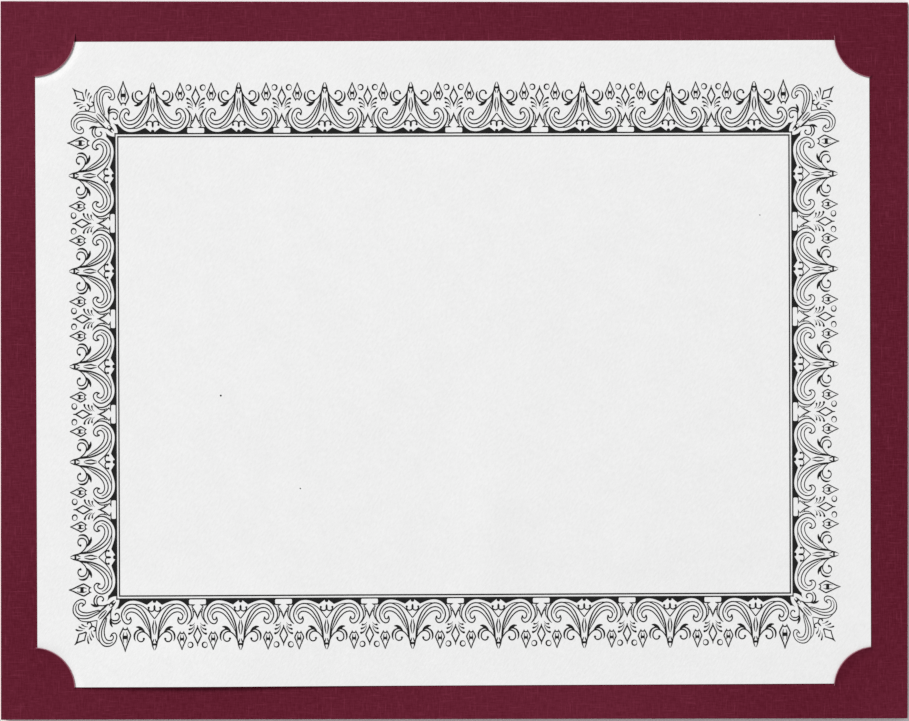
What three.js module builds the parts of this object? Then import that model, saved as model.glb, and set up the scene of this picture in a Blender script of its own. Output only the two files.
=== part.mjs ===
// A folded card certificate holder with its paper certificate, in millimetres, +Z up.
// It lies face up as it is shown: the mount panel on top, its cover folded back flat underneath.
// The origin is under the middle of the folded outline, on the surface that the cover lies on.
// +X runs along the fold, and +Y points from the middle towards the fold.
import * as THREE from "three";

// The certificate, and how it sits in its slits
const SHEET_WIDTH = 279.4;
const SHEET_HEIGHT = 215.9;
const SHEET_THICKNESS = 0.2;
const SHEET_PLAY = 1.2; // from each edge of a centred sheet to the middle of the slits' arcs
const SHEET_SLIP_X = -0.4; // how far the sheet has slipped from the middle of the slits
const SHEET_SLIP_Y = -0.35;
const SHEET_TURN = THREE.MathUtils.degToRad(0.2);

// The card
const CARD_THICKNESS = 0.35;
const SIDE_MARGIN = 12.3; // card left and right of a centred sheet
const END_MARGIN = 12.25; // card above and below it, the fold included
const SLITS_DROP = 0.6; // the pattern of slits lies this far below the middle of the panel

// The quarter-round slits, which free a tongue at each corner
const SLIT_RADIUS = 13.7;
const SLIT_TAIL = 1.2; // straight run past each end of the arc
const SLIT_KERF = 0.3;

// Clearances
const LAY_GAP = 0.05; // air between two layers that lie on each other
const HINGE_GAP = 0.05; // between the pieces that meet at a crease
const CLOSED_GAP = 1.25; // over the tongues when the cover is closed, which leaves room for a bowed sheet

const ARC_STEPS = 12;
const RAMP_STEPS = 4;

// Derived sizes
const holderWidth = SHEET_WIDTH + 2 * SIDE_MARGIN;
const holderHeight = SHEET_HEIGHT + 2 * END_MARGIN;
// Where the sheet goes through a slit it falls past the card, and the tongue above it rises as far.
const slitStep = CARD_THICKNESS + SHEET_THICKNESS + 2 * LAY_GAP;
const foldReach = CARD_THICKNESS + slitStep + CLOSED_GAP; // between the two creases of the fold

const coverMiddleZ = CARD_THICKNESS / 2;
const panelMiddleZ = coverMiddleZ + foldReach;
const panelBackZ = panelMiddleZ - CARD_THICKNESS / 2;
const panelFrontZ = panelMiddleZ + CARD_THICKNESS / 2;
const sheetTopZ = panelFrontZ + LAY_GAP + SHEET_THICKNESS;

const creaseY = holderHeight / 2 - CARD_THICKNESS / 2;
const foldedEdgeY = creaseY - CARD_THICKNESS / 2 - HINGE_GAP;
const freeEdgeY = -holderHeight / 2;

const holeRadius = SLIT_RADIUS + SLIT_KERF;
const bendRadius = SLIT_RADIUS + SLIT_KERF / 2; // the sheet starts to fall halfway across the kerf
const rootDistance = (SLIT_RADIUS - SLIT_TAIL) * Math.SQRT1_2; // from the arc's middle to the tongue's root

const LINEN_CARD = { color: "#642132", roughness: 0.72, metalness: 0 };
const CERTIFICATE_PAPER = { color: "#eeeeee", roughness: 0.85, metalness: 0 };

// One corner of the pattern of slits. Its own frame starts at the middle of the arc:
// x runs inwards along the diagonal, and y along the root of the tongue.
class SlitCorner {
  constructor(name, side, level) {
    this.name = name;
    this.side = side;
    this.level = level;
    this.middle = new THREE.Vector2(
      side * (SHEET_WIDTH / 2 + SHEET_PLAY),
      level * (SHEET_HEIGHT / 2 + SHEET_PLAY) - SLITS_DROP,
    );
    this.angle = Math.atan2(-level, -side);
  }

  toPanel(point) {
    return point.clone().rotateAround(new THREE.Vector2(), this.angle).add(this.middle);
  }

  fromPanel(point) {
    return point.clone().sub(this.middle).rotateAround(new THREE.Vector2(), -this.angle);
  }
}

// In the order in which they are met going round the sheet anticlockwise.
const corners = [
  new SlitCorner("bottom_right", 1, -1),
  new SlitCorner("top_right", 1, 1),
  new SlitCorner("top_left", -1, 1),
  new SlitCorner("bottom_left", -1, -1),
];

// How far the slit's outline lies from the arc's middle along the diagonal, at a place along the root:
// the arc itself, and past its ends the straight tails, which leave it at 45 degrees to the diagonal.
function slitOutline(along, radius) {
  const arcEnd = radius * Math.SQRT1_2;
  return Math.abs(along) <= arcEnd
    ? Math.sqrt(radius * radius - along * along)
    : 2 * arcEnd - Math.abs(along);
}

// A closed solid from a surface of triangles seen from above: the surface itself, a copy of it one thickness
// lower, and a wall along every edge that has no neighbour.
function thickened(points, triangles, thickness) {
  const count = points.length;
  const upright = triangles.map(([a, b, c]) => {
    const [p, q, r] = [points[a], points[b], points[c]];
    const turn = (q.x - p.x) * (r.y - p.y) - (q.y - p.y) * (r.x - p.x);
    return turn > 0 ? [a, b, c] : [a, c, b];
  });
  const sides = new Set();
  for (const [a, b, c] of upright) {
    for (const [from, to] of [[a, b], [b, c], [c, a]]) sides.add(`${from} ${to}`);
  }
  const index = [];
  for (const [a, b, c] of upright) {
    index.push(a, b, c);
    index.push(a + count, c + count, b + count);
  }
  for (const side of sides) {
    const [from, to] = side.split(" ").map(Number);
    if (sides.has(`${to} ${from}`)) continue;
    index.push(from + count, to + count, to);
    index.push(from + count, to, from);
  }
  const lowered = points.map((p) => new THREE.Vector3(p.x, p.y, p.z - thickness));
  const geometry = new THREE.BufferGeometry().setFromPoints([...points, ...lowered]);
  geometry.setIndex(index);
  geometry.computeVertexNormals();
  return geometry;
}

// The two triangles of each cell in a grid of rows of equal length, by the number of each point.
function gridTriangles(rows) {
  const triangles = [];
  for (let r = 0; r + 1 < rows.length; r++) {
    for (let i = 0; i + 1 < rows[r].length; i++) {
      const [a, b, c, d] = [rows[r][i], rows[r][i + 1], rows[r + 1][i + 1], rows[r + 1][i]];
      triangles.push([a, b, c], [a, c, d]);
    }
  }
  return triangles;
}

function namedMesh(name, geometry, finish) {
  const mesh = new THREE.Mesh(geometry, new THREE.MeshStandardMaterial(finish));
  mesh.name = name;
  return mesh;
}

// A flat plate of card that reaches from the free edge to the crease line.
function plateShape() {
  const shape = new THREE.Shape();
  shape.moveTo(-holderWidth / 2, freeEdgeY);
  shape.lineTo(holderWidth / 2, freeEdgeY);
  shape.lineTo(holderWidth / 2, foldedEdgeY);
  shape.lineTo(-holderWidth / 2, foldedEdgeY);
  shape.closePath();
  return shape;
}

// The opening that a tongue leaves in the mount panel: the slit's outline widened by the kerf.
function tongueOpening(corner) {
  const root = rootDistance - HINGE_GAP;
  const rootEnd = Math.SQRT2 * holeRadius - root;
  const first = corner.toPanel(new THREE.Vector2(root, -rootEnd));
  const last = corner.toPanel(new THREE.Vector2(root, rootEnd));
  const opening = new THREE.Path();
  opening.moveTo(last.x, last.y);
  opening.lineTo(first.x, first.y);
  opening.absarc(
    corner.middle.x,
    corner.middle.y,
    holeRadius,
    corner.angle - Math.PI / 4,
    corner.angle + Math.PI / 4,
    false,
  );
  opening.closePath();
  return opening;
}

function extrudedCard(shape) {
  return new THREE.ExtrudeGeometry(shape, {
    depth: CARD_THICKNESS,
    bevelEnabled: false,
    curveSegments: ARC_STEPS / 2,
  });
}

function mountPanel() {
  const shape = plateShape();
  shape.holes = corners.map(tongueOpening);
  const mesh = namedMesh("mount_panel", extrudedCard(shape), LINEN_CARD);
  mesh.position.z = panelBackZ;
  return mesh;
}

function coverPanel() {
  return namedMesh("cover_panel", extrudedCard(plateShape()), LINEN_CARD);
}

// The strip of card between the two creases, upright while the cover is folded back.
function foldSpine() {
  const height = foldReach - 2 * HINGE_GAP;
  const strip = new THREE.BoxGeometry(holderWidth, CARD_THICKNESS, height);
  const mesh = namedMesh("fold_spine", strip, LINEN_CARD);
  mesh.position.set(0, creaseY, (coverMiddleZ + panelMiddleZ) / 2);
  return mesh;
}

// A tongue in its corner's frame, with the panel's front face at z = 0. It is flush at its root and rises
// evenly to its round edge, which lies on the sheet. Its blunt tips, halfway along the tails, stay flush.
function tongueGeometry() {
  const arcEnd = SLIT_RADIUS * Math.SQRT1_2;
  const tip = (SLIT_RADIUS + SLIT_TAIL / 2) * Math.SQRT1_2;
  const stations = [-tip];
  for (let i = 0; i <= ARC_STEPS; i++) stations.push(THREE.MathUtils.lerp(-arcEnd, arcEnd, i / ARC_STEPS));
  stations.push(tip);
  const points = [];
  const rows = [];
  for (let r = 0; r <= RAMP_STEPS; r++) {
    const share = r / RAMP_STEPS;
    const row = stations.map((along) => {
      const away = THREE.MathUtils.lerp(rootDistance, slitOutline(along, SLIT_RADIUS), share);
      const rise = Math.abs(along) < tip ? share * slitStep : 0;
      return points.push(new THREE.Vector3(away, along, rise)) - 1;
    });
    rows.push(row);
  }
  return thickened(points, gridTriangles(rows), CARD_THICKNESS);
}

function cornerTabs() {
  const geometry = tongueGeometry();
  return corners.map((corner) => {
    const mesh = namedMesh(`corner_tab_${corner.name}`, geometry, LINEN_CARD);
    mesh.position.set(corner.middle.x, corner.middle.y, panelFrontZ);
    mesh.rotation.z = corner.angle;
    return mesh;
  });
}

// The top of the sheet near a corner, in that corner's frame: in front of the card outside the bend line,
// behind it past the tongue's root, and an even fall between the two.
function sheetHeight(point) {
  const span = slitOutline(point.y, bendRadius) - rootDistance;
  const share = THREE.MathUtils.clamp((point.x - rootDistance) / span, 0, 1);
  return sheetTopZ - slitStep * (1 - share);
}

// The part of the sheet that goes through one slit: rows of points from the bend line to the tongue's root,
// and the sheet's own corner behind the panel.
function sheetCorner(corner) {
  const middleOfSlits = new THREE.Vector2(0, -SLITS_DROP);
  const slip = new THREE.Vector2(SHEET_SLIP_X, SHEET_SLIP_Y);
  const tip = corner.fromPanel(
    new THREE.Vector2((corner.side * SHEET_WIDTH) / 2, (corner.level * SHEET_HEIGHT) / 2)
      .rotateAround(new THREE.Vector2(), SHEET_TURN)
      .add(middleOfSlits)
      .add(slip),
  );
  // The sheet's two edges leave its corner at 45 degrees to the diagonal, turned with the sheet.
  const edges = [1, -1].map((sign) =>
    new THREE.Vector2(Math.SQRT1_2, sign * Math.SQRT1_2).rotateAround(new THREE.Vector2(), SHEET_TURN),
  );
  const bendAngles = edges.map((edge) => {
    const lean = tip.dot(edge);
    const run = -lean + Math.sqrt(lean * lean - tip.lengthSq() + bendRadius * bendRadius);
    return tip.clone().addScaledVector(edge, run).angle();
  });
  const rootEnds = edges.map((edge) => tip.clone().addScaledVector(edge, (rootDistance - tip.x) / edge.x));
  // The second edge's angle is measured just below a full turn.
  const [startAngle, endAngle] = [bendAngles[0], bendAngles[1] - 2 * Math.PI];
  const rows = [];
  for (let r = 0; r <= RAMP_STEPS; r++) {
    const row = [];
    for (let i = 0; i <= ARC_STEPS; i++) {
      const angle = THREE.MathUtils.lerp(startAngle, endAngle, i / ARC_STEPS);
      const onBend = new THREE.Vector2(Math.cos(angle), Math.sin(angle)).multiplyScalar(bendRadius);
      const onRoot = rootEnds[0].clone().lerp(rootEnds[1], i / ARC_STEPS);
      const here = onBend.lerp(onRoot, r / RAMP_STEPS);
      const placed = corner.toPanel(here);
      row.push(new THREE.Vector3(placed.x, placed.y, sheetHeight(here)));
    }
    rows.push(row);
  }
  const placedTip = corner.toPanel(tip);
  return { rows, tip: new THREE.Vector3(placedTip.x, placedTip.y, sheetTopZ - slitStep) };
}

// The certificate: one sheet, with a flat field in front of the card and a corner through each slit.
function certificateSheet() {
  const points = [];
  const triangles = [];
  const outline = [];
  for (const corner of corners) {
    const { rows, tip } = sheetCorner(corner);
    const numbered = rows.map((row) => row.map((point) => points.push(point) - 1));
    outline.push(...numbered[0]);
    triangles.push(...gridTriangles(numbered));
    const tipNumber = points.push(tip) - 1;
    const root = numbered[RAMP_STEPS];
    for (let i = 0; i < ARC_STEPS; i++) triangles.push([tipNumber, root[i], root[i + 1]]);
  }
  const field = outline.map((number) => new THREE.Vector2(points[number].x, points[number].y));
  for (const face of THREE.ShapeUtils.triangulateShape(field, [])) {
    triangles.push(face.map((place) => outline[place]));
  }
  const solid = thickened(points, triangles, SHEET_THICKNESS);
  return namedMesh("certificate_sheet", solid, CERTIFICATE_PAPER);
}

const holder = new THREE.Group();
holder.name = "certificate_holder";
holder.add(mountPanel(), ...cornerTabs(), foldSpine(), coverPanel(), certificateSheet());

export default holder;
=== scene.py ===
import math

import bpy
import numpy as np
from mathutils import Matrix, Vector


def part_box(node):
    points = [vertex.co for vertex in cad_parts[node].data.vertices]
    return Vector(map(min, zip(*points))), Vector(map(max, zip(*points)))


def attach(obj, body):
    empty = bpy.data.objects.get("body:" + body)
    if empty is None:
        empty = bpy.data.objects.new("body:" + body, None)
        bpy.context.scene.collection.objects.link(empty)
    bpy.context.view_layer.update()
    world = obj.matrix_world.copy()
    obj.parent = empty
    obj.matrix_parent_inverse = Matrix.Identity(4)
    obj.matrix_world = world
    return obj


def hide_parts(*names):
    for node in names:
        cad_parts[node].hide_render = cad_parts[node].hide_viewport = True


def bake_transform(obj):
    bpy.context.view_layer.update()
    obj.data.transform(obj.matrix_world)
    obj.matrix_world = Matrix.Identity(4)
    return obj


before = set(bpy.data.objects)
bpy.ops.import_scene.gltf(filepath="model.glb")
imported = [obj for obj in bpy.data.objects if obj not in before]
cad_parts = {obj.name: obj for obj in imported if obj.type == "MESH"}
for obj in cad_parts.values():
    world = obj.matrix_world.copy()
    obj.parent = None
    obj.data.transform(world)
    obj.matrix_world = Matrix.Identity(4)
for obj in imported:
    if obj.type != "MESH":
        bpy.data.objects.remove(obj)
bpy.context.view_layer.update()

# Sizes in millimetres, as in the part: +X along the fold, +Y towards it, +Z out of the certificate's face.
MM = 0.001
SHEET_SIZE = np.array([279.4, 215.9])
SHEET_MIDDLE = np.array([-0.4, -0.95])
SHEET_TURN = math.radians(0.2)
SHEET_THICKNESS = 0.2
CARD_THICKNESS = 0.35
LAY_GAP = 0.05
SLIT_MIDDLE = (140.9, 109.15)  # of the slits' arcs, from the middle of their pattern
SLITS_DROP = 0.6  # of that middle below the panel's
SLIT_RADIUS = 13.7
SLIT_TAIL = 1.2
SLIT_KERF = 0.3
TAIL_KERF = 0.07
CLOSED_KERF = 0.015
# Where each slit closes up, and where its fibrous lip ends, past the sheet's edges: both are ways along the
# tongue's root, at the slit's upright end and at its level end
SLIT_CLOSES = {"top_left": (10.5, 9.8), "top_right": (10.1, 8.67), "bottom_left": (9.84, 9.35),
               "bottom_right": (9.44, 9.2)}
LIP_ENDS = {"top_left": (8.5, 9.6), "top_right": (10.1, 8.55), "bottom_left": (9.6, 9.35),
            "bottom_right": (9.44, 9.0)}
SLIT_STEP = 0.65  # how far a tongue is lifted where the sheet comes out from under it
# How far each tongue's edge springs up off the sheet
TONGUE_SPRING = {"top_left": 0.18, "top_right": 0.08, "bottom_left": 0.05, "bottom_right": 0.02}
# Which side of the panel each corner is on, and which end
CORNERS = {"top_left": (-1, 1), "top_right": (1, 1), "bottom_left": (-1, -1), "bottom_right": (1, -1)}

panel_low, panel_high = (np.array(corner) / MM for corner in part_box("mount_panel"))
cover_low, cover_high = (np.array(corner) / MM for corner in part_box("cover_panel"))
spine_low, spine_high = (np.array(corner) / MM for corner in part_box("fold_spine"))
edge_x = panel_high[0]
free_y = panel_low[1]
fold_y = spine_high[1]  # the outermost line of the fold
panel_front, panel_back = panel_high[2], panel_low[2]
sheet_top = panel_front + LAY_GAP + SHEET_THICKNESS
DIAGONAL = math.sqrt(0.5)  # a unit step along a diagonal, in x and in y
root_distance = (SLIT_RADIUS - SLIT_TAIL) * DIAGONAL  # from an arc's middle to its tongue's root
root_half = math.sqrt(2) * SLIT_RADIUS - root_distance  # from the middle of a root to the slit's end
NEAR = 1e-3  # closer than this is on the line

# The fold: two creases with a narrow flat spine between them
CREASE_RADIUS = 0.25  # along the middle of the card
PANEL_SEAM = 0.6  # from the fold's outermost line to where the flat panels begin
seam_y = fold_y - PANEL_SEAM


# Meshes

SAME_DECIMALS = 4  # points that agree to a tenth of a micron are one
SHARP_ANGLE = math.radians(40)  # edges that turn further than this stay sharp


def grid_faces(rows, columns, start=0):
    """The quads of a grid of points that are numbered row by row."""
    first = start + (np.arange(rows - 1)[:, None] * columns + np.arange(columns - 1)).ravel()
    return np.stack([first, first + 1, first + columns + 1, first + columns], axis=1)


def joined(patches):
    """One list of points and one of quads from several grids of points, each an array of rows, columns and
    x, y, z. Points that lie on each other become one, so patches that share an edge are joined."""
    points, faces, count = [], [], 0
    for patch in patches:
        rows, columns = patch.shape[:2]
        points.append(patch.reshape(-1, 3))
        faces.append(grid_faces(rows, columns, count))
        count += rows * columns
    points, faces = np.concatenate(points), np.concatenate(faces)
    rounded = np.round(points, SAME_DECIMALS)
    _, kept, number = np.unique(rounded, axis=0, return_index=True, return_inverse=True)
    return points[kept], number.reshape(-1)[faces]


def upright(points, faces):
    """The same quads, each turned to face up, where the cross product of its diagonals is above zero."""
    across = points[faces[:, 2]] - points[faces[:, 0]]
    over = points[faces[:, 3]] - points[faces[:, 1]]
    down = across[:, 0] * over[:, 1] - across[:, 1] * over[:, 0] < 0
    return np.where(down[:, None], faces[:, ::-1], faces)


def thickened(points, faces, back):
    """A closed solid from a front surface and the matching points of its back. Sides that belong to one quad
    only get a wall. Returns all points, all faces, and which faces are walls."""
    count = len(points)
    starts, ends = faces.ravel(), np.roll(faces, -1, axis=1).ravel()
    rim = ~np.isin(starts * count + ends, ends * count + starts)
    a, b = starts[rim], ends[rim]
    walls = np.stack([b, a, a + count, b + count], axis=1)
    every = np.concatenate([faces, faces[:, ::-1] + count, walls])
    return np.concatenate([points, back]), every, np.arange(len(every)) >= 2 * len(faces)


def piece(name, points, faces, materials, second=None, smooth=True):
    """An object at the origin, from points in millimetres and quads. second marks the faces that take the
    second material."""
    mesh = bpy.data.meshes.new(name)
    mesh.vertices.add(len(points))
    mesh.vertices.foreach_set("co", (points * MM).astype(np.float32).ravel())
    mesh.loops.add(faces.size)
    mesh.loops.foreach_set("vertex_index", faces.astype(np.int32).ravel())
    mesh.polygons.add(len(faces))
    mesh.polygons.foreach_set("loop_start", np.arange(0, faces.size, 4, dtype=np.int32))
    for material in materials:
        mesh.materials.append(material)
    if second is not None:
        mesh.polygons.foreach_set("material_index", second.astype(np.int32))
    mesh.polygons.foreach_set("use_smooth", np.full(len(faces), smooth))
    mesh.update(calc_edges=True)
    mesh.validate()
    if smooth:
        mesh.set_sharp_from_angle(angle=SHARP_ANGLE)
    made = bpy.data.objects.new(name, mesh)
    bpy.context.scene.collection.objects.link(made)
    return made


# Materials, whose patterns have these sizes in millimetres

THREAD = (0.45, 2.8)  # a linen thread's width, and how far it runs on top of the weave
THICK_THREAD = (0.55, 7.5)
SLUB = 0.75
LIGHT_SHADE_PATCH = 90.0  # broad patches of painted light and shade, where the card is shown a little lighter or darker
LIGHT_SHADE_SHIFT = (2.348, 1.577, 0)  # metres; brings the painted shade to the bottom-left, where the card lies in shade, and the painted light to the top-left
FIBRE_END = 0.5
FELT_MARK = (1.7, 0.6)  # length and width
FELT_SLANT = math.radians(-58)
PAPER_MOTTLE = 7.0
INK_MOTTLE = 0.8
PATTERN_DEPTH = 50.0  # so deep that nothing changes through the card
RELIEF = 0.05  # of the embossing, the felt marks and the fibre ends


def linear(code):
    """A colour written as sRGB hex, in the linear values that a shader takes."""
    srgb = np.array([int(code[i:i + 2], 16) for i in (1, 3, 5)]) / 255
    return (*np.where(srgb <= 0.04045, srgb / 12.92, ((srgb + 0.055) / 1.055) ** 2.4), 1.0)


def add_node(tree, kind, inputs=None, **settings):
    """A node with its settings, and for each input a value or the socket that feeds it."""
    node = tree.nodes.new(kind)
    for name, value in settings.items():
        setattr(node, name, value)
    for name, value in (inputs or {}).items():
        if isinstance(value, bpy.types.NodeSocket):
            tree.links.new(value, node.inputs[name])
        else:
            node.inputs[name].default_value = value
    return node


def new_material(name):
    """An empty node material, its tree and its Object coordinates."""
    material = bpy.data.materials.new(name)
    material.use_nodes = True
    tree = material.node_tree
    tree.nodes.clear()
    return material, tree, add_node(tree, "ShaderNodeTexCoord").outputs["Object"]


def per_mm(*sizes):
    """Scale factors for Object coordinates, which are in metres, that make one step of a pattern as long as
    each size in millimetres."""
    return tuple(1 / (size * MM) for size in sizes)


def finish_material(tree, surface):
    """Ends a material's nodes with its surface."""
    add_node(tree, "ShaderNodeOutputMaterial", {"Surface": surface.outputs[0]})


def linen_embossed_card():
    """Burgundy cover card, dyed through and pressed between linen-faced rollers. The eye sees a close weave
    of short upright and level threads, each with a lit and a shaded side, now and then a longer thick one,
    and pale slubs. The raised threads are coloured lighter, a painted sheen on the weave's tops, and broad
    patches of painted light and shade lie over the whole card."""
    material, tree, place = new_material("burgundy_cover_card_linen_embossed")

    def threads(across, length, detail):
        """Two noises, one drawn out upwards and one sideways: across is a thread's width, in millimetres."""
        for sizes in ((across, length, PATTERN_DEPTH), (length, across, PATTERN_DEPTH)):
            drawn_out = add_node(tree, "ShaderNodeVectorMath", {
                0: place, 1: per_mm(*sizes),
            }, operation="MULTIPLY")
            yield add_node(tree, "ShaderNodeTexNoise", {
                "Vector": drawn_out.outputs[0], "Scale": 1.0, "Detail": detail, "Roughness": 0.6,
            }).outputs[0]

    upright_threads, level_threads = threads(*THREAD, 2.0)
    weave = add_node(tree, "ShaderNodeMath", {0: upright_threads, 1: level_threads}, operation="ADD")
    upright_thick, level_thick = threads(*THICK_THREAD, 0.0)
    thick = add_node(tree, "ShaderNodeMath", {0: upright_thick, 1: level_thick}, operation="MAXIMUM")
    thick = add_node(tree, "ShaderNodeMapRange", {
        "Value": thick.outputs[0], "From Min": 0.66, "From Max": 0.84,
    }, interpolation_type="SMOOTHSTEP")
    height = add_node(tree, "ShaderNodeMath", {
        0: thick.outputs[0], 1: 0.5, 2: weave.outputs[0],
    }, operation="MULTIPLY_ADD")
    slub_noise = add_node(tree, "ShaderNodeTexNoise", {
        "Vector": place, "Scale": per_mm(SLUB)[0], "Detail": 1.0,
    })
    slubs = add_node(tree, "ShaderNodeMapRange", {
        "Value": slub_noise.outputs[0], "From Min": 0.62, "From Max": 0.84, "To Max": 0.6,
    }, interpolation_type="SMOOTHSTEP")
    # The threads' height turned into colour, lighter where they stand higher: a painted sheen on the weave's
    # tops
    light = add_node(tree, "ShaderNodeMapRange", {
        "Value": height.outputs[0], "From Min": 0.62, "From Max": 1.62, "To Min": -0.43, "To Max": 0.57,
    })
    light = add_node(tree, "ShaderNodeMath", {0: light.outputs[0], 1: slubs.outputs[0]}, operation="ADD")
    # Broad patches of painted light and shade over the card: lighter at its top-left, darker at its
    # bottom-left where it lies in shade
    laid = add_node(tree, "ShaderNodeVectorMath", {0: place, 1: LIGHT_SHADE_SHIFT}, operation="ADD")
    painted_light_and_shade = add_node(tree, "ShaderNodeTexNoise", {
        "Vector": laid.outputs[0], "Scale": per_mm(LIGHT_SHADE_PATCH)[0], "Detail": 2.0,
    })
    light = add_node(tree, "ShaderNodeMath", {
        0: painted_light_and_shade.outputs[0], 1: 0.85, 2: light.outputs[0],
    }, operation="MULTIPLY_ADD")
    tone = add_node(tree, "ShaderNodeMix", {
        0: light.outputs[0], 6: linear("#550c20"), 7: linear("#6f2439"),
    }, data_type="RGBA")
    bump = add_node(tree, "ShaderNodeBump", {
        "Strength": 0.8, "Distance": RELIEF * MM, "Height": height.outputs[0],
    })
    rough = add_node(tree, "ShaderNodeMapRange", {
        "Value": height.outputs[0], "From Min": 0.7, "From Max": 1.5, "To Min": 0.74, "To Max": 0.62,
    })
    finish_material(tree, add_node(tree, "ShaderNodeBsdfPrincipled", {
        "Base Color": tone.outputs[2], "Roughness": rough.outputs[0], "IOR": 1.47, "Specular IOR Level": 0.1,
        "Normal": bump.outputs[0],
    }))
    return material


def die_cut_edge():
    """The same card where a steel rule has cut it: torn fibre ends, paler than the pressed face and without
    its sheen."""
    material, tree, place = new_material("burgundy_cover_card_die_cut")
    fibres = add_node(tree, "ShaderNodeTexNoise", {
        "Vector": place, "Scale": per_mm(FIBRE_END)[0], "Detail": 3.0,
    })
    tone = add_node(tree, "ShaderNodeMix", {
        0: fibres.outputs[0], 6: linear("#7d3a4b"), 7: linear("#b37d8b"),
    }, data_type="RGBA")
    bump = add_node(tree, "ShaderNodeBump", {
        "Strength": 0.4, "Distance": RELIEF * MM, "Height": fibres.outputs[0],
    })
    finish_material(tree, add_node(tree, "ShaderNodeBsdfPrincipled", {
        "Base Color": tone.outputs[2], "Roughness": 0.9, "IOR": 1.47, "Specular IOR Level": 0.1,
        "Normal": bump.outputs[0],
    }))
    return material


def felt_finish_paper():
    """White certificate paper, pressed with a felt while wet: shallow fibre marks that slant up to the
    right, with a lit and a shaded side, dull, barely off white."""
    material, tree, place = new_material("certificate_paper_felt_finish")
    slanted = add_node(tree, "ShaderNodeVectorRotate", {
        "Vector": place, "Angle": FELT_SLANT,
    }, rotation_type="Z_AXIS")
    drawn_out = add_node(tree, "ShaderNodeVectorMath", {
        0: slanted.outputs[0], 1: per_mm(*FELT_MARK, PATTERN_DEPTH),
    }, operation="MULTIPLY")
    marks = add_node(tree, "ShaderNodeTexNoise", {
        "Vector": drawn_out.outputs[0], "Scale": 1.0, "Detail": 3.0, "Roughness": 0.75,
    })
    mottle = add_node(tree, "ShaderNodeTexNoise", {
        "Vector": place, "Scale": per_mm(PAPER_MOTTLE)[0], "Detail": 3.0,
    })
    fibre = add_node(tree, "ShaderNodeMath", {
        0: mottle.outputs[0], 1: 0.24, 2: marks.outputs[0],
    }, operation="MULTIPLY_ADD")
    light = add_node(tree, "ShaderNodeMapRange", {
        "Value": fibre.outputs[0], "From Min": 0.295, "From Max": 0.945,
    })
    tone = add_node(tree, "ShaderNodeMix", {
        0: light.outputs[0], 6: linear("#e7e7e7"), 7: linear("#f7f7f7"),
    }, data_type="RGBA")
    bump = add_node(tree, "ShaderNodeBump", {
        "Strength": 0.8, "Distance": RELIEF * MM, "Height": marks.outputs[0],
    })
    finish_material(tree, add_node(tree, "ShaderNodeBsdfPrincipled", {
        "Base Color": tone.outputs[2], "Roughness": 0.85, "IOR": 1.5, "Specular IOR Level": 0.1,
        "Normal": bump.outputs[0],
    }))
    return material


def printing_ink():
    """Black ink, printed by offset: a thin even film that follows the paper, a little greyer where it covers
    less."""
    material, tree, place = new_material("black_offset_ink_printed")
    cover = add_node(tree, "ShaderNodeTexNoise", {
        "Vector": place, "Scale": per_mm(INK_MOTTLE)[0], "Detail": 2.0,
    })
    tone = add_node(tree, "ShaderNodeMix", {
        0: cover.outputs[0], 6: linear("#101010"), 7: linear("#222222"),
    }, data_type="RGBA")
    finish_material(tree, add_node(tree, "ShaderNodeBsdfPrincipled", {
        "Base Color": tone.outputs[2], "Roughness": 0.6, "IOR": 1.5, "Specular IOR Level": 0.1,
    }))
    return material


card = linen_embossed_card()
cut_edge = die_cut_edge()
paper = felt_finish_paper()
ink = printing_ink()


# The slits and their tongues

def slit_outline(along, radius):
    """Distance of a slit from its arc's middle, measured along the diagonal, at a place along the tongue's
    root: a circle, and past its ends straight tails that leave it at 45 degrees to the diagonal."""
    along, arc_end = np.abs(along), radius * DIAGONAL
    return np.where(along <= arc_end, np.sqrt(np.maximum(radius**2 - along**2, 0)), 2 * arc_end - along)


def arc_middle(corner):
    """Panel x and y of the middle of a slit's arc."""
    side, level = CORNERS[corner]
    return side * SLIT_MIDDLE[0], level * SLIT_MIDDLE[1] - SLITS_DROP


def from_corner(corner, away, along):
    """Panel x and y of a point given by its way inwards along the diagonal, from the middle of the slit's
    arc, and its way along the tongue's root."""
    (side, level), (x, y) = CORNERS[corner], arc_middle(corner)
    return x + DIAGONAL * (level * along - side * away), y - DIAGONAL * (side * along + level * away)


def to_corner(corner, x, y):
    """The reverse of from_corner."""
    (side, level), (middle_x, middle_y) = CORNERS[corner], arc_middle(corner)
    x, y = x - middle_x, y - middle_y
    return -DIAGONAL * (side * x + level * y), DIAGONAL * (level * x - side * y)


def sprung(share):
    """Rise of a strip that is held flat at its root and lifted at its end, (3 s^2 - s^3) / 2."""
    return (3 * share**2 - share**3) / 2


def eased(share):
    """A smooth step from 0 to 1."""
    share = np.clip(share, 0, 1)
    return share * share * (3 - 2 * share)


LIP = 0.32  # width of the soft, fibrous lip along a tongue's cut edge
LIP_DROP = 0.18
LIP_SHOWS = 0.1  # a narrower lip keeps the pressed face
LEAST_LIP = 0.05  # the share of its width that is left past its ends
CLOSING_RUN = 0.4  # along the root, from where a slit is open or has its lip to where it has not
END_GAP = 0.08  # a tongue ends this far short of its slit
RISE_RUN = 1.5  # a tongue rises in full where it is longer than this
TONGUE_COLUMNS = 73
TONGUE_ROWS = 13
LIP_ROWS = 5


def open_share(corner, along, ends):
    """1 inside the slit, 0 past the two ends, and a smooth step between."""
    side, level = CORNERS[corner]
    limit = np.where(along * -side * level > 0, ends[corner][0], ends[corner][1])
    return eased((limit - np.abs(along)) / CLOSING_RUN)


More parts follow.
